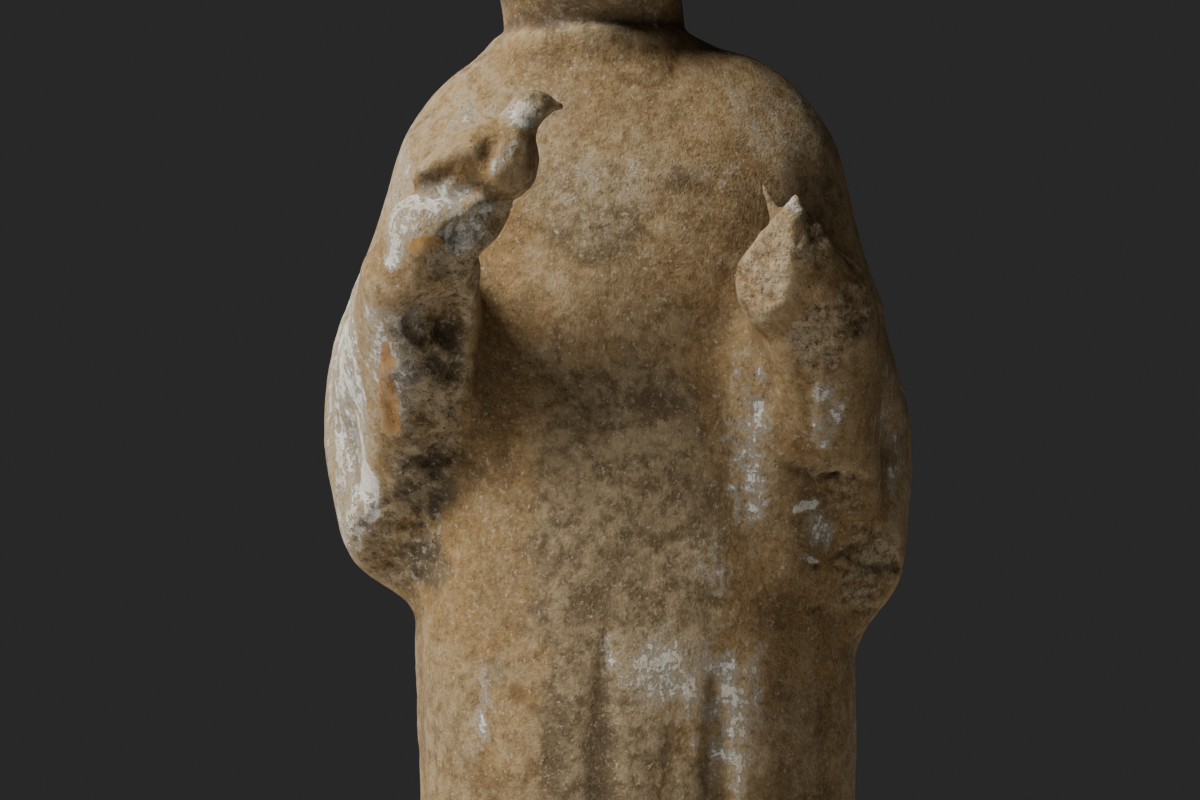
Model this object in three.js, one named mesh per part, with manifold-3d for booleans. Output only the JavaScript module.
// Pottery court lady with a small bird on the right hand: one solid of fired clay.
// Millimetres, +Z up, the front looks towards -Y, the origin lies under the middle of the figure's box.
import * as THREE from 'three';
import Module from 'manifold-3d';

// Driving sizes
const FIGURE_HEIGHT = 500; // top of the slab to the top of the hair
const SLAB_HEIGHT = 8;
const SLAB_MARGIN = 4; // the slab stands this far out around the hem and the shoe tips
const SLAB_EDGE = 2.5; // rounding of the slab's upper edge
const CUT_ROOM = 6; // clay below z = 0 that is cut off flat

// Mesh fineness
const CELL = 2.1;
const GRID_MARGIN = 8; // free room around the clay on the grid
const TRIANGLES = 9400;
const FINE_WEIGHT = 5; // how much more a triangle counts on the head and the hands

// The sculpt below is free form. Its lengths are written for a figure SCULPT_HEIGHT tall, from the top of
// the slab upwards, and the whole of it is scaled to FIGURE_HEIGHT.
const SCULPT_HEIGHT = 500;

// A form is a function of a point: negative in the clay, positive outside, about the distance near the skin.
const { clamp, smoothstep, degToRad } = THREE.MathUtils;
const mix = (a, b, t) => a + (b - a) * t;
const distance = (x, y, z) => Math.sqrt(x * x + y * y + z * z);

// The lesser of two values with a rounded seam k wide
function blend(a, b, k) {
  const overlap = Math.max(k - Math.abs(a - b), 0) / k;
  return Math.min(a, b) - overlap * overlap * k / 4;
}

// The greater of two values with a rounded edge k wide
const cut = (a, b, k) => -blend(-a, -b, k);

// Joins forms with one seam width
function join(k, ...forms) {
  return (x, y, z) => {
    let near = forms[0](x, y, z);
    for (let i = 1; i < forms.length; i++) near = blend(near, forms[i](x, y, z), k);
    return near;
  };
}

// Saves time: far from a ball that holds the whole form, the distance to the ball stands for the form
function within([cx, cy, cz], radius, form) {
  return (x, y, z) => {
    const away = distance(x - cx, y - cy, z - cz) - radius;
    return away > 20 ? away : form(x, y, z);
  };
}

// Turns about X, then Y, then Z in degrees, as the rows of a matrix that takes a point into the turned frame
function turned([aboutX, aboutY, aboutZ]) {
  const euler = new THREE.Euler(degToRad(aboutX), degToRad(aboutY), degToRad(aboutZ), 'ZYX');
  return new THREE.Matrix4().makeRotationFromEuler(euler).elements;
}

// Moves a form to a place and turns it there
function placed(form, [px, py, pz], turn = [0, 0, 0]) {
  const m = turned(turn);
  return (x, y, z) => {
    const dx = x - px;
    const dy = y - py;
    const dz = z - pz;
    return form(
      m[0] * dx + m[1] * dy + m[2] * dz,
      m[4] * dx + m[5] * dy + m[6] * dz,
      m[8] * dx + m[9] * dy + m[10] * dz,
    );
  };
}

// The same form on the left and on the right of the plane x = 0
const paired = (form) => (x, y, z) => form(Math.abs(x), y, z);

function ellipsoid(centre, [rx, ry, rz], turn) {
  const core = (x, y, z) => {
    const near = distance(x / rx, y / ry, z / rz);
    const steep = distance(x / (rx * rx), y / (ry * ry), z / (rz * rz));
    return steep < 1e-9 ? -Math.min(rx, ry, rz) : near * (near - 1) / steep;
  };
  return placed(core, centre, turn);
}

// A limb: a ball at each end and the hull between them
function limb([ax, ay, az], [bx, by, bz], startRadius, endRadius) {
  const dx = bx - ax;
  const dy = by - ay;
  const dz = bz - az;
  const length2 = dx * dx + dy * dy + dz * dz;
  return (x, y, z) => {
    const t = clamp(((x - ax) * dx + (y - ay) * dy + (z - az) * dz) / length2, 0, 1);
    const away = distance(x - ax - dx * t, y - ay - dy * t, z - az - dz * t);
    return away - mix(startRadius, endRadius, t);
  };
}

// The half space behind a plane through a point
function behind([px, py, pz], normal) {
  const n = new THREE.Vector3(...normal).normalize();
  return (x, y, z) => (x - px) * n.x + (y - py) * n.y + (z - pz) * n.z;
}

// Robe: stations from the hem up, with the half width, the depth to the front and to the back of the axis,
// and the place of the axis across the figure
const ROBE_STATIONS = [
  { z: -30, half: 68, front: 61, back: 64, axis: 3 },
  { z: 0, half: 68, front: 61, back: 64, axis: 3 },
  { z: 22, half: 63, front: 56, back: 59, axis: 4 },
  { z: 92, half: 60, front: 53, back: 53, axis: 5 },
  { z: 180, half: 63, front: 56, back: 50, axis: 5 },
  { z: 232, half: 63.5, front: 58, back: 50, axis: 4.5 },
  { z: 285, half: 61, front: 53, back: 50, axis: 2 },
  { z: 330, half: 63, front: 45, back: 49, axis: 0 },
  { z: 358, half: 62.5, front: 38, back: 45, axis: -0.5 },
  { z: 372, half: 58.5, front: 32, back: 41, axis: -0.5 },
  { z: 382, half: 52, front: 27, back: 35, axis: -0.5 },
  { z: 389, half: 44, front: 22, back: 28, axis: -0.5 },
  { z: 394, half: 34, front: 17, back: 21, axis: -1.5 },
  { z: 399, half: 16, front: 10, back: 12, axis: -5 },
];
const ROBE_SQUARENESS = 2.25;
const HEM = ROBE_STATIONS[1];

// Folds of the skirt: narrow valleys that deepen towards the hem, each with a ridge on its right
const FOLD_COUNT = 11;
const FOLD_START = -9.7; // degrees from the front, the valley under the middle of the chest
const FOLD_TOP = 252;
const FOLD_FULL = 110; // the folds reach their whole depth at this height
const FOLD_DEPTH = 3.8;
const FOLD_VALLEY = 5.2;
const FOLD_RIDGE = 11;
const FOLD_BACK_SHARE = 0.6;

// A smooth curve through one value of the stations
function alongStations(stations, key) {
  const heights = stations.map((station) => station.z);
  const values = stations.map((station) => station[key]);
  const curve = new THREE.CubicInterpolant(heights, values, 1);
  const first = heights[0];
  const last = heights.at(-1);
  const samples = [];
  for (let z = first; z <= last; z++) samples.push(curve.evaluate(z)[0]);
  return (z) => {
    const place = clamp(z, first, last - 1e-6) - first;
    const index = Math.min(Math.floor(place), samples.length - 2);
    return mix(samples[index], samples[index + 1], place - index);
  };
}

function foldHeight(around, radius, z) {
  const growth = clamp((FOLD_TOP - z) / (FOLD_TOP - FOLD_FULL), 0, 1) ** 1.3;
  const pitch = 2 * Math.PI / FOLD_COUNT;
  const turns = (around - degToRad(FOLD_START)) / pitch;
  const arc = (turns - Math.round(turns)) * pitch * radius;
  const fromRidge = arc - FOLD_RIDGE * 0.75;
  const valley = -Math.exp(-((arc / FOLD_VALLEY) ** 2));
  const ridge = 0.45 * Math.exp(-((fromRidge / FOLD_RIDGE) ** 2));
  const share = mix(FOLD_BACK_SHARE, 1, 0.5 + 0.5 * Math.cos(around));
  return FOLD_DEPTH * growth * share * (valley + ridge);
}

function robe() {
  const halfAt = alongStations(ROBE_STATIONS, 'half');
  const frontAt = alongStations(ROBE_STATIONS, 'front');
  const backAt = alongStations(ROBE_STATIONS, 'back');
  const axisAt = alongStations(ROBE_STATIONS, 'axis');
  const top = ROBE_STATIONS.at(-1).z;
  return (x, y, z) => {
    const across = x - axisAt(z);
    const half = halfAt(z);
    const depth = y < 0 ? frontAt(z) : backAt(z);
    const away = distance(across, y, 0);
    if (away < 1e-6) return Math.max(-half, z - top);
    const ring = (Math.abs(across / half) ** ROBE_SQUARENESS + Math.abs(y / depth) ** ROBE_SQUARENESS)
      ** (1 / ROBE_SQUARENESS);
    const radius = away / ring;
    const slope = (halfAt(z + 2) - halfAt(z - 2)) / 4;
    const fold = foldHeight(Math.atan2(across, -y), radius, z);
    const side = (away - radius - fold) / Math.sqrt(1 + slope * slope);
    return Math.max(side, z - top);
  };
}

// Arms: side is -1 for her right arm, which carries the bird, and 1 for her left arm
const RIGHT_ARM = {
  shoulder: [-42, 6, 357], shoulderRadius: 19,
  upper: [-57, 4, 316], upperRadius: 22.2,
  elbow: [-61, -4, 290], elbowRadius: 24.4,
  sleeve: [-57, -14, 261], sleeveRadius: 23.4,
  wrist: [-54.5, -65, 324], wristRadius: 15.5,
};
const LEFT_ARM = {
  shoulder: [44, 6, 355], shoulderRadius: 19,
  upper: [55, 4, 314], upperRadius: 21.2,
  elbow: [60.5, -4, 284], elbowRadius: 23.6,
  sleeve: [57.5, -13, 251], sleeveRadius: 24.4,
  wrist: [52.5, -60, 318], wristRadius: 16,
};

const ARM_STEPS = 4; // short limbs from one joint of the arm to the next
const ARM_SEAM = 4;

// A run of short limbs along a smooth curve through joints, each a place and a radius
function sweep(joints) {
  const stops = joints.map((joint, index) => index);
  const curve = new THREE.CubicInterpolant(stops, joints.flat(2), 4);
  const at = (step) => Array.from(curve.evaluate(step / ARM_STEPS));
  const limbs = [];
  for (let step = 0; step < (joints.length - 1) * ARM_STEPS; step++) {
    const [ax, ay, az, startRadius] = at(step);
    const [bx, by, bz, endRadius] = at(step + 1);
    limbs.push(limb([ax, ay, az], [bx, by, bz], startRadius, endRadius));
  }
  return (x, y, z) => Math.min(...limbs.map((form) => form(x, y, z)));
}

function arm(size) {
  const hanging = sweep([
    [size.shoulder, size.shoulderRadius],
    [size.upper, size.upperRadius],
    [size.elbow, size.elbowRadius],
    [size.sleeve, size.sleeveRadius],
  ]);
  const rising = join(
    ARM_SEAM,
    limb(size.elbow, size.wrist, size.elbowRadius, size.wristRadius),
    limb(size.sleeve, size.wrist, size.sleeveRadius * 0.8, size.wristRadius * 0.9),
  );
  return (x, y, z) => Math.min(hanging(x, y, z), rising(x, y, z));
}

// Her right sleeve is broken along its front: one long scar that looks forward and inward, and two flat chips
function rightArm() {
  const whole = arm(RIGHT_ARM);
  const scar = behind([-51.2, -50.9, 288.9], [0.36, -0.74, -0.56]);
  const chip = behind([-57.7, -40.7, 271.3], [-0.1, -0.8, -0.6]);
  const lowChip = behind([-61.1, -29.9, 249], [-0.2, -0.78, -0.59]);
  return (x, y, z) => {
    const scarred = cut(whole(x, y, z), scar(x, y, z), 3);
    return cut(cut(scarred, chip(x, y, z), 3), lowChip(x, y, z), 3);
  };
}

// Her left sleeve is broken along its front and outer side: two facets with three steps down to the elbow
const BREAK_STEPS = [
  { z: 273, depth: 2.6 },
  { z: 248, depth: -1.8 },
  { z: 235, depth: 1.6 },
];
const BREAK_RISE = 0.12;

function leftArm() {
  const whole = arm(LEFT_ARM);
  const front = behind([50, -54.4, 282], [-0.05, -0.87, -0.48]);
  const outer = behind([61, -55.1, 282], [0.5, -0.77, -0.42]);
  const wristSide = behind([62, -68, 318], [0.75, -0.62, 0.2]);
  return (x, y, z) => {
    const level = z + BREAK_RISE * (x - LEFT_ARM.elbow[0]);
    const sunk = BREAK_STEPS.reduce((sum, step) => sum + step.depth * smoothstep(step.z - level, -2, 2), 0);
    const broken = cut(whole(x, y, z), cut(front(x, y, z), outer(x, y, z), 3) + sunk, 3);
    return cut(broken, wristSide(x, y, z), 3);
  };
}

// The clay between her left forearm and the belly, which makes a smooth flank
function leftFlank() {
  return limb([39, -43, 303], [43, -35, 248], 9, 11);
}

// The right hand: a fist in the end of the cuff, flat where its palm side is lost, with the stub of a finger
function rightHand() {
  const cuff = limb([-52.5, -70, 328], [-51.5, -77, 337], 15, 12);
  const fist = limb([-50, -78, 337], [-39, -80, 341], 11, 9);
  const stub = limb([-36, -80, 342], [-30.5, -80, 343], 5.5, 3);
  const under = behind([-40, -78, 327], [0.42, 0.05, -0.9]);
  const palm = behind([-40, -87.5, 342], [0.55, -0.7, -0.46]);
  const form = join(4, cuff, fist, stub);
  return (x, y, z) => cut(cut(form(x, y, z), under(x, y, z), 4), palm(x, y, z), 2.5);
}

// The bird on the hand looks to the chest, its tail lies over the cuff
const BIRD_DEPTH = -80;
const BIRD_WIDTH = 9.6;

function bird() {
  const body = ellipsoid([-38, BIRD_DEPTH, 357], [15, 8, 7.5], [0, -35, 0]);
  const breast = ellipsoid([-31.4, BIRD_DEPTH, 356.6], [9.6, 8.8, 10.2]);
  const neck = limb([-31, BIRD_DEPTH, 361], [-25.8, BIRD_DEPTH, 368.5], 7, 5.2);
  const skull = ellipsoid([-23.8, BIRD_DEPTH, 371.3], [5.8, 5.1, 5]);
  const beak = limb([-20, BIRD_DEPTH, 371.4], [-15.9, BIRD_DEPTH, 371.4], 3.2, 0.9);
  const web = ellipsoid([-43, BIRD_DEPTH + 1, 350.5], [11, 6.6, 5.4]);
  const wing = ellipsoid([-43.6, BIRD_DEPTH, 358.4], [13.4, BIRD_WIDTH, 4.7], [0, -31, 0]);
  const tail = limb([-47, BIRD_DEPTH, 354], [-54.2, BIRD_DEPTH, 351.6], 4, 1.8);
  const soft = join(2.5, body, breast, neck, web);
  const crisp = join(1.2, tail, skull, beak, wing);
  return (x, y, z) => blend(soft(x, y, z), crisp(x, y, z), 1.5);
}

// The left hand is gone: a stump with two broken faces that meet in an upright edge, and a thin splinter
function brokenHand() {
  const stump = limb([49.5, -60, 325], [46, -72, 338], 16.8, 8.5);
  const bulge = ellipsoid([42, -68, 327], [11, 11, 15], [0, 12, 0]);
  const innerFace = behind([46, -81, 330], [-0.62, -0.78, -0.05]);
  const outerFace = behind([48, -80.5, 330], [0.5, -0.84, 0.18]);
  const splinter = limb([42.5, -71, 341], [38.2, -70, 351], 2, 0.7);
  const lump = join(6, stump, bulge);
  return (x, y, z) => {
    const faced = cut(cut(lump(x, y, z), innerFace(x, y, z), 1.5), outerFace(x, y, z), 1.5);
    return blend(faced, splinter(x, y, z), 1);
  };
}

// Head, in its own frame: the origin is the middle of the skull, -y looks out of the face
const HEAD_PLACE = [-8, -2, 444];
const HEAD_REACH = 62; // a ball of this radius holds the head
const HEAD_TILT = [-3, -3.5, 2];

function face() {
  const mass = join(
    9,
    ellipsoid([0, -2, -9], [30, 32, 31]),
    paired(ellipsoid([14, -17, -19], [14.5, 14, 14])),
    ellipsoid([0, -8, 8], [26, 24, 22]),
    ellipsoid([0, -14, -33], [18, 15, 9]),
  );
  const chin = ellipsoid([0, -27, -32], [8, 7, 7]);
  const socket = paired(ellipsoid([12.8, -36.6, -1.5], [8, 6.5, 4.2]));
  const eye = paired(ellipsoid([12.6, -25.4, -3], [8.2, 6, 4]));
  const lidLine = paired(limb([7.5, -33, -4.4], [19.5, -28.4, -3.2], 0.8, 0.5));
  const brow = paired(join(
    3,
    limb([5.5, -31.8, 5], [12.5, -29.6, 7.8], 1.2, 1.5),
    limb([12.5, -29.6, 7.8], [20.5, -25.3, 6], 1.5, 1),
  ));
  const nose = limb([0, -31.5, 3], [0, -37.2, -11], 2.6, 3.8);
  const nostril = paired(ellipsoid([3.9, -35, -12.4], [3, 3.2, 2.7]));
  const upperLip = paired(limb([1.2, -34.3, -20.4], [5.6, -32.2, -20.8], 2.1, 1.1));
  const lowerLip = ellipsoid([0, -33, -24.2], [5.2, 3.4, 2.5]);
  const lipLine = paired(limb([0, -36.8, -22.3], [6.5, -33.6, -21.9], 0.7, 0.4));
  return (x, y, z) => {
    let d = blend(mass(x, y, z), chin(x, y, z), 8);
    d = cut(d, -socket(x, y, z), 5);
    d = blend(d, brow(x, y, z), 5);
    d = blend(d, eye(x, y, z), 1.2);
    d = cut(d, -lidLine(x, y, z), 0.8);
    d = blend(d, nose(x, y, z), 4.5);
    d = blend(d, nostril(x, y, z), 2.2);
    d = blend(d, upperLip(x, y, z), 1.8);
    d = blend(d, lowerLip(x, y, z), 1.8);
    return cut(d, -lipLine(x, y, z), 0.8);
  };
}

// Hair: a full roll around the face, combed up in locks to a folded knot
const ROLL_RADIUS = 35.5;
const ROLL_THICKNESS = 10.5;
const ROLL_CENTRE = [0, -20, -4];
const ROLL_END = -17; // the roll thins out below this height
const LOCK_COUNT = 26;
const LOCK_DEPTH = 1.1;
const KNOT_BASE = [0, 8, 34];

function hair() {
  const crown = ellipsoid([0, 8, 5], [45, 41, 35]);
  const nape = ellipsoid([0, 20, -14], [31, 22, 22]);
  const cheekPuff = paired(ellipsoid([34, -3, -6], [11, 19, 20]));
  const roll = (x, y, z) => {
    const up = z - ROLL_CENTRE[2];
    const thick = ROLL_THICKNESS * (0.35 + 0.65 * smoothstep(z, ROLL_END - 8, ROLL_END + 12));
    return distance(distance(x, up, 0) - ROLL_RADIUS, (y - ROLL_CENTRE[1]) * 0.8, 0) - thick;
  };
  const rollBelow = behind([0, 0, ROLL_END - 6], [0, 0, -1]);
  const window = ellipsoid([0, -42, -10], [27.5, 40, 29.5]);
  return (x, y, z) => {
    const around = Math.atan2(x, KNOT_BASE[1] - y);
    const lockPhase = around * LOCK_COUNT / 2 + 0.05 * z;
    const spread = smoothstep(distance(x, y - KNOT_BASE[1], 0), 6, 26);
    const groove = LOCK_DEPTH * spread * (1 - Math.abs(Math.sin(lockPhase))) ** 2;
    const ring = cut(roll(x, y, z), rollBelow(x, y, z), 6);
    const mass = blend(blend(crown(x, y, z), nape(x, y, z), 10), cheekPuff(x, y, z), 7);
    return cut(blend(mass, ring, 5), -window(x, y, z), 4) + groove;
  };
}

function knot() {
  const base = limb([0, 14, 28], [0, 6, 38], 19, 16);
  const lobe = ellipsoid([-1, -3, 44], [18, 18, 11.5], [-10, 4, 0]);
  const tuck = ellipsoid([-2, -17, 39], [13, 9, 8], [20, 0, 0]);
  const crease = limb([4, -30, 46], [2, 12, 58], 3.2, 3.2);
  const form = join(5, base, lobe, tuck);
  return (x, y, z) => cut(form(x, y, z), -crease(x, y, z), 5);
}

function head() {
  const skin = face();
  const locks = hair();
  const topKnot = knot();
  const form = (x, y, z) => blend(blend(skin(x, y, z), locks(x, y, z), 1), topKnot(x, y, z), 3);
  return placed(form, HEAD_PLACE, HEAD_TILT);
}

const neck = () => limb([-5, 6, 368], [-8.5, 3, 414], 28, 25.2);

// The neckline of the robe: a low rim around the foot of the neck
const NECKLINE_RADIUS = 28;
const NECKLINE_RIM = 2;

function neckline() {
  const ring = (x, y, z) => distance(distance(x, y, 0) - NECKLINE_RADIUS, z, 0) - NECKLINE_RIM;
  return placed(ring, [-7, 5, 388], [-16, 0, 0]);
}

// A line drawn on the front, through points given across and up the figure: 1 on the line, 0 away from it
function frontLine(points, width) {
  const spans = points.slice(1).map((end, index) => {
    const start = points[index];
    return limb([start[0], 0, start[1]], [end[0], 0, end[1]], 0, 0);
  });
  return (x, y, z) => {
    if (y > 12) return 0;
    const away = Math.min(...spans.map((span) => span(x, 0, z)));
    return Math.exp(-((away / width) ** 2)) * smoothstep(-y, -12, 0);
  };
}

// The edge of the shawl: a soft ridge that comes from the neck and runs down over her left arm
const SHAWL_POINTS = [[36, 387], [49, 381], [58, 368], [62.5, 351], [69, 332], [75, 320]];
const SHAWL_WIDTH = 4.5;
const SHAWL_HEIGHT = 1.3;

function shawlEdge() {
  const line = frontLine(SHAWL_POINTS, SHAWL_WIDTH);
  return (x, y, z) => (x > 20 && z > 300 ? SHAWL_HEIGHT * line(x, y, z) : 0);
}

// Turned-up shoe tips under the hem
const SHOE_REACH = 13;
const SHOE_SPREAD = 23;

function shoes() {
  const { front } = HEM;
  const sole = ellipsoid([SHOE_SPREAD, -front, 2], [13, SHOE_REACH, 11]);
  const lobes = [SHOE_SPREAD - 5, SHOE_SPREAD + 5].map(
    (side) => limb([side, 2 - front - SHOE_REACH / 2, 8], [side, 2 - front, 17], 6, 5),
  );
  const pair = paired(join(3, sole, ...lobes));
  return (x, y, z) => pair(x - 2, y, z);
}

// The whole figure in the sculpt's own lengths, standing on z = 0
function figure() {
  const body = robe();
  const soft = join(10, neck(), within(HEAD_PLACE, HEAD_REACH, head()));
  const right = within([-55, -20, 310], 90, rightArm());
  const left = within([55, -20, 305], 90, leftArm());
  const flank = leftFlank();
  const hand = within([-42, -78, 338], 30, rightHand());
  const stump = within([45, -70, 330], 34, brokenHand());
  const perched = within([-36, BIRD_DEPTH, 360], 28, bird());
  const toes = shoes();
  const collar = neckline();
  const shawl = shawlEdge();
  return (x, y, z) => {
    let d = body(x, y, z);
    d = blend(d, right(x, y, z), 12);
    d = blend(d, left(x, y, z), 12);
    d = blend(d, flank(x, y, z), 10);
    d = blend(d, soft(x, y, z), 12);
    d = blend(d, collar(x, y, z), 4) - shawl(x, y, z);
    d = blend(d, hand(x, y, z), 4);
    d = blend(d, stump(x, y, z), 2);
    d = blend(d, perched(x, y, z), 2);
    return blend(d, toes(x, y, z), 2);
  };
}

// The slab: the hem's oval, drawn out at the front to carry the shoe tips
function slab(scale) {
  const half = HEM.half * scale + SLAB_MARGIN;
  const front = (HEM.front + SHOE_REACH) * scale + SLAB_MARGIN;
  const back = HEM.back * scale + SLAB_MARGIN;
  const axis = HEM.axis * scale;
  return (x, y, z) => {
    const depth = y < 0 ? front : back;
    const away = distance(x - axis, y, 0);
    const ring = distance((x - axis) / half, y / depth, 0);
    const side = away < 1e-6 ? -half : away * (1 - 1 / ring);
    return cut(side, z - SLAB_HEIGHT, SLAB_EDGE);
  };
}

// The box that holds the clay, with GRID_MARGIN around it
function clayRoom(scale) {
  const side = Math.max(...[RIGHT_ARM, LEFT_ARM].map((arm) => Math.abs(arm.elbow[0]) + arm.elbowRadius));
  const front = Math.max(BIRD_WIDTH - BIRD_DEPTH, HEM.front + SHOE_REACH + SLAB_MARGIN);
  const top = HEAD_PLACE[2] + HEAD_REACH;
  return new THREE.Box3(
    new THREE.Vector3(-side * scale, -front * scale, -CUT_ROOM),
    new THREE.Vector3(side * scale, (HEM.back + SLAB_MARGIN) * scale, top * scale + SLAB_HEIGHT),
  ).expandByScalar(GRID_MARGIN);
}

function clay() {
  const scale = FIGURE_HEIGHT / SCULPT_HEIGHT;
  const lady = figure();
  const foot = slab(scale);
  return (x, y, z) => {
    const own = lady(x / scale, y / scale, (z - SLAB_HEIGHT) / scale) * scale;
    return Math.max(blend(own, foot(x, y, z), 3), -CUT_ROOM - z);
  };
}

// Samples a form on a grid. Blocks far from the surface keep the value of their middle.
function sample(form, box, cell) {
  const size = box.getSize(new THREE.Vector3());
  const count = ['x', 'y', 'z'].map((axis) => Math.ceil(size[axis] / cell) + 1);
  const [nx, ny, nz] = count;
  const values = new Float32Array(nx * ny * nz);
  const block = 4;
  const reach = block * cell * 2.2;
  const fill = (i, j, k, far) => {
    const value = far ?? form(box.min.x + i * cell, box.min.y + j * cell, box.min.z + k * cell);
    values[i + nx * (j + ny * k)] = value === 0 ? 1e-6 : value;
  };
  for (let k = 0; k < nz; k += block) {
    for (let j = 0; j < ny; j += block) {
      for (let i = 0; i < nx; i += block) {
        const middle = block / 2 * cell;
        const value = form(
          box.min.x + i * cell + middle,
          box.min.y + j * cell + middle,
          box.min.z + k * cell + middle,
        );
        const far = Math.abs(value) > reach ? value : undefined;
        for (let c = k; c < Math.min(k + block, nz); c++) {
          for (let b = j; b < Math.min(j + block, ny); b++) {
            for (let a = i; a < Math.min(i + block, nx); a++) fill(a, b, c, far);
          }
        }
      }
    }
  }
  return { values, count, box, cell };
}

// Fills the corners where the clay would touch itself along a line, so that the skin stays one sheet
function closePinches({ values, count: [nx, ny, nz] }) {
  const steps = [1, nx, nx * ny];
  let found = true;
  while (found) {
    found = false;
    for (let k = 0; k < nz - 1; k++) {
      for (let j = 0; j < ny - 1; j++) {
        for (let i = 0; i < nx - 1; i++) {
          const at = i + nx * (j + ny * k);
          for (let axis = 0; axis < 3; axis++) {
            const u = steps[(axis + 1) % 3];
            const v = steps[(axis + 2) % 3];
            const corners = [at, at + u, at + u + v, at + v].map((index) => values[index] < 0);
            if (corners[0] !== corners[2] || corners[1] !== corners[3] || corners[0] === corners[1]) continue;
            values[corners[0] ? at + u : at] = -1e-3;
            found = true;
          }
        }
      }
    }
  }
}

// Surface nets: one vertex in each grid cell that the surface crosses, one quad across each crossed grid edge
function skin({ values, count: [nx, ny, nz], box, cell }) {
  const steps = [1, nx, nx * ny];
  const vertexOf = new Int32Array(values.length).fill(-1);
  const positions = [];
  const triangles = [];
  const corner = [0, 1, 2, 3, 4, 5, 6, 7].map((c) => [c & 1, (c >> 1) & 1, c >> 2]);
  const edges = [];
  for (let a = 0; a < 8; a++) {
    for (const bit of [1, 2, 4]) if (!(a & bit)) edges.push([a, a | bit]);
  }
  for (let k = 0; k < nz - 1; k++) {
    for (let j = 0; j < ny - 1; j++) {
      for (let i = 0; i < nx - 1; i++) {
        const at = i + nx * (j + ny * k);
        let crossings = 0;
        const sum = [0, 0, 0];
        for (const [a, b] of edges) {
          const valueA = values[at + corner[a][0] + nx * corner[a][1] + nx * ny * corner[a][2]];
          const valueB = values[at + corner[b][0] + nx * corner[b][1] + nx * ny * corner[b][2]];
          if ((valueA < 0) === (valueB < 0)) continue;
          const t = valueA / (valueA - valueB);
          for (let axis = 0; axis < 3; axis++) sum[axis] += mix(corner[a][axis], corner[b][axis], t);
          crossings++;
        }
        if (crossings === 0) continue;
        vertexOf[at] = positions.length / 3;
        positions.push(
          box.min.x + (i + sum[0] / crossings) * cell,
          box.min.y + (j + sum[1] / crossings) * cell,
          box.min.z + (k + sum[2] / crossings) * cell,
        );
      }
    }
  }
  for (let k = 1; k < nz - 1; k++) {
    for (let j = 1; j < ny - 1; j++) {
      for (let i = 1; i < nx - 1; i++) {
        const at = i + nx * (j + ny * k);
        for (let axis = 0; axis < 3; axis++) {
          const inside = values[at] < 0;
          if (inside === values[at + steps[axis]] < 0) continue;
          const u = steps[(axis + 1) % 3];
          const v = steps[(axis + 2) % 3];
          const quad = [at, at - u, at - u - v, at - v].map((index) => vertexOf[index]);
          const [a, b, c, d] = inside ? quad : quad.reverse();
          triangles.push(a, b, c, a, c, d);
        }
      }
    }
  }
  return { positions, triangles };
}

// A binary heap of edges, the cheapest first
class EdgeHeap {
  constructor() {
    this.items = [];
  }

  push(item) {
    const { items } = this;
    let at = items.length;
    items.push(item);
    while (at > 0) {
      const parent = (at - 1) >> 1;
      if (items[parent].cost <= item.cost) break;
      items[at] = items[parent];
      at = parent;
    }
    items[at] = item;
  }

  pop() {
    const { items } = this;
    const top = items[0];
    const last = items.pop();
    if (items.length === 0) return top;
    let at = 0;
    while (2 * at + 1 < items.length) {
      let child = 2 * at + 1;
      if (child + 1 < items.length && items[child + 1].cost < items[child].cost) child++;
      if (items[child].cost >= last.cost) break;
      items[at] = items[child];
      at = child;
    }
    items[at] = last;
    return top;
  }
}

// A quadric sums the squared distances to planes, as the ten values of a symmetric matrix
function addPlane(quadric, normal, offset, weight) {
  const plane = [normal.x, normal.y, normal.z, offset];
  let slot = 0;
  for (let row = 0; row < 4; row++) {
    for (let column = row; column < 4; column++) quadric[slot++] += weight * plane[row] * plane[column];
  }
}

function quadricError(q, x, y, z) {
  return q[0] * x * x + 2 * q[1] * x * y + 2 * q[2] * x * z + 2 * q[3] * x
    + q[4] * y * y + 2 * q[5] * y * z + 2 * q[6] * y
    + q[7] * z * z + 2 * q[8] * z + q[9];
}

// The point with the least error, or the best of the ends and the middle where that isn't well defined
function bestPoint(q, a, b) {
  const matrix = new THREE.Matrix3().set(q[0], q[1], q[2], q[1], q[4], q[5], q[2], q[5], q[7]);
  const scale = (q[0] + q[4] + q[7]) / 3;
  if (Math.abs(matrix.determinant()) > 1e-3 * scale ** 3) {
    const point = new THREE.Vector3(-q[3], -q[6], -q[8]).applyMatrix3(matrix.invert());
    if (point.distanceTo(a) < 2 * a.distanceTo(b)) return point;
  }
  const middle = a.clone().add(b).multiplyScalar(0.5);
  const cost = (point) => quadricError(q, point.x, point.y, point.z);
  return [a, b, middle].reduce((best, point) => (cost(point) < cost(best) ? point : best), middle).clone();
}

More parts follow.
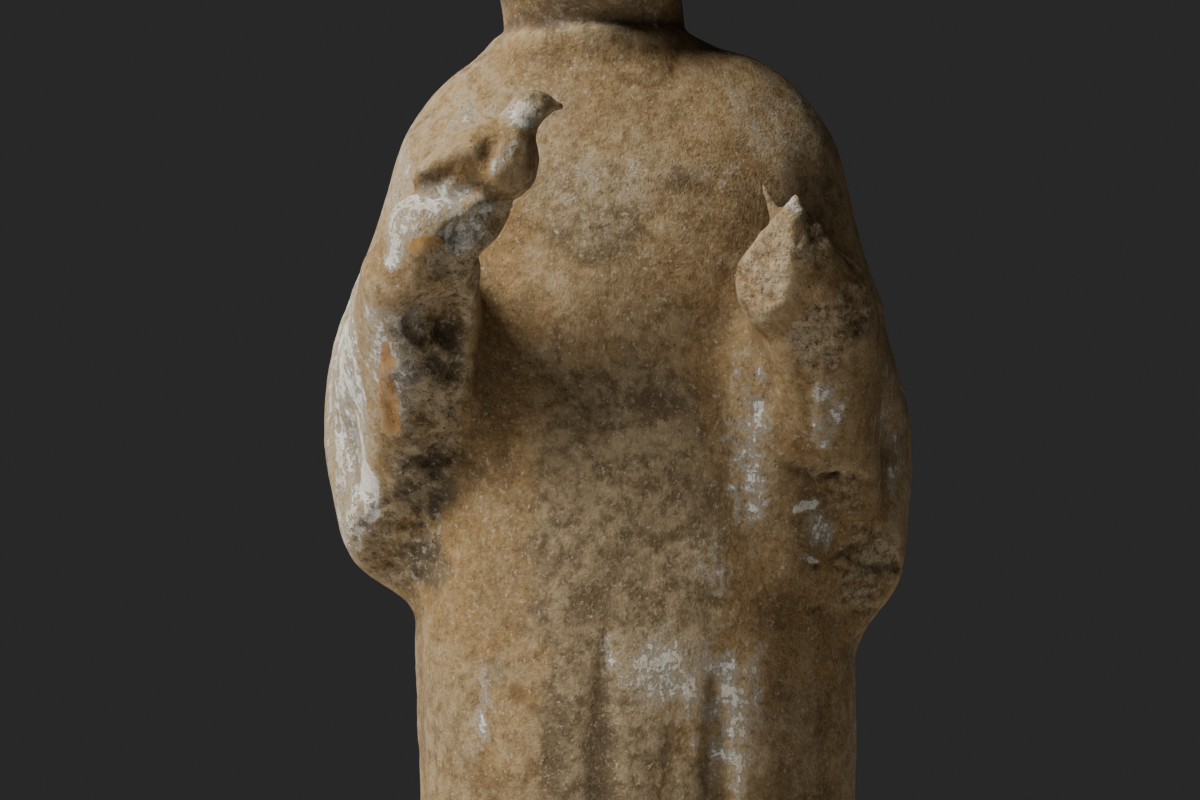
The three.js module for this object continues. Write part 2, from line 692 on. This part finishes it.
// Collapses the edges that matter least until the mesh has the wished number of triangles
function simplify({ positions, triangles }, wished, weightAt) {
  const points = [];
  for (let i = 0; i < positions.length; i += 3) points.push(new THREE.Vector3().fromArray(positions, i));
  const faces = [];
  for (let i = 0; i < triangles.length; i += 3) faces.push(triangles.slice(i, i + 3));
  const quadrics = points.map(() => new Float64Array(10));
  const facesOf = points.map(() => []);
  const version = new Int32Array(points.length);
  const normalOf = ([a, b, c], moved, place) => {
    const at = (index) => (index === moved ? place : points[index]);
    const edge = at(b).clone().sub(at(a));
    return edge.cross(at(c).clone().sub(at(a)));
  };
  faces.forEach((face, index) => {
    const normal = normalOf(face);
    const area = normal.length() / 2;
    normal.normalize();
    const middle = points[face[0]];
    const weight = area * weightAt(middle);
    for (const corner of face) {
      addPlane(quadrics[corner], normal, -normal.dot(points[face[0]]), weight);
      facesOf[corner].push(index);
    }
  });
  const heap = new EdgeHeap();
  const offer = (a, b) => {
    const sum = quadrics[a].map((value, slot) => value + quadrics[b][slot]);
    const place = bestPoint(sum, points[a], points[b]);
    const cost = quadricError(sum, place.x, place.y, place.z) + 1e-5 * points[a].distanceToSquared(points[b]);
    heap.push({ a, b, place, sum, cost, stamp: version[a] + version[b] });
  };
  for (const [a, b, c] of faces) {
    if (a < b) offer(a, b);
    if (b < c) offer(b, c);
    if (c < a) offer(c, a);
  }
  const neighbours = (vertex) => new Set(facesOf[vertex].flatMap((face) => faces[face]));
  const flips = (vertex, other, place) => facesOf[vertex].some((index) => {
    const face = faces[index];
    if (face.includes(other)) return false;
    const before = normalOf(face);
    const after = normalOf(face, vertex, place);
    return before.dot(after) < 0.25 * before.length() * after.length() || after.length() < 1e-3;
  });
  let left = faces.length;
  while (left > wished && heap.items.length > 0) {
    const { a, b, place, sum, stamp } = heap.pop();
    if (version[a] + version[b] !== stamp || version[a] < 0 || version[b] < 0) continue;
    const around = neighbours(a);
    const shared = [...neighbours(b)].filter((vertex) => around.has(vertex)).length - 2;
    if (shared !== 2 || flips(a, b, place) || flips(b, a, place)) continue;
    points[a].copy(place);
    quadrics[a] = sum;
    const kept = [];
    for (const index of [...facesOf[a], ...facesOf[b]]) {
      const face = faces[index];
      if (face === null) continue;
      if (face.includes(a) && face.includes(b)) {
        for (const corner of face) {
          if (corner !== a && corner !== b) facesOf[corner] = facesOf[corner].filter((f) => f !== index);
        }
        faces[index] = null;
        left--;
        continue;
      }
      faces[index] = face.map((corner) => (corner === b ? a : corner));
      kept.push(index);
    }
    facesOf[a] = kept;
    facesOf[b] = [];
    version[b] = -1e6;
    version[a]++;
    for (const vertex of neighbours(a)) if (vertex !== a) offer(a, vertex);
  }
  return { points, faces: faces.filter((face) => face !== null) };
}

function solidOf(wasm, positions, triangles) {
  return new wasm.Manifold(new wasm.Mesh({
    numProp: 3,
    vertProperties: new Float32Array(positions),
    triVerts: new Uint32Array(triangles),
  }));
}

// Cuts the solid off flat at z = 0 with a box
function cutFlat(wasm, { points, faces }) {
  const rough = solidOf(wasm, points.flatMap((point) => point.toArray()), faces.flat());
  const box = new THREE.BoxGeometry(1000, 1000, 100);
  box.translate(0, 0, -50);
  const corners = box.getAttribute('position');
  const ids = new Map();
  const places = [];
  const mergedIndex = Array.from(box.getIndex().array, (index) => {
    const key = [corners.getX(index), corners.getY(index), corners.getZ(index)];
    const name = key.join();
    if (!ids.has(name)) {
      ids.set(name, ids.size);
      places.push(...key);
    }
    return ids.get(name);
  });
  const flat = rough.subtract(solidOf(wasm, places, mergedIndex));
  return flat.getMesh();
}

// More triangles where the modelling is small
function weightAt(point) {
  const height = (point.z - SLAB_HEIGHT) * SCULPT_HEIGHT / FIGURE_HEIGHT;
  const reach = -point.y * SCULPT_HEIGHT / FIGURE_HEIGHT;
  return height > 402 || (height > 318 && reach > 62) ? FINE_WEIGHT : 1;
}

async function ladyGeometry() {
  const wasm = await Module();
  wasm.setup();
  const scale = FIGURE_HEIGHT / SCULPT_HEIGHT;
  const grid = sample(clay(), clayRoom(scale), CELL * scale);
  closePinches(grid);
  const mesh = cutFlat(wasm, simplify(skin(grid), TRIANGLES, weightAt));
  const geometry = new THREE.BufferGeometry();
  geometry.setAttribute('position', new THREE.BufferAttribute(new Float32Array(mesh.vertProperties), 3));
  geometry.setIndex(new THREE.BufferAttribute(new Uint32Array(mesh.triVerts), 1));
  geometry.computeBoundingBox();
  const middle = geometry.boundingBox.getCenter(new THREE.Vector3());
  geometry.translate(-middle.x, -middle.y, 0);
  geometry.computeVertexNormals();
  return geometry;
}

const firedClay = new THREE.MeshStandardMaterial({ color: 0xb09a78, roughness: 0.9, metalness: 0 });

const lady = new THREE.Mesh(await ladyGeometry(), firedClay);
lady.name = 'court_lady';

const group = new THREE.Group();
group.add(lady);

export default group;
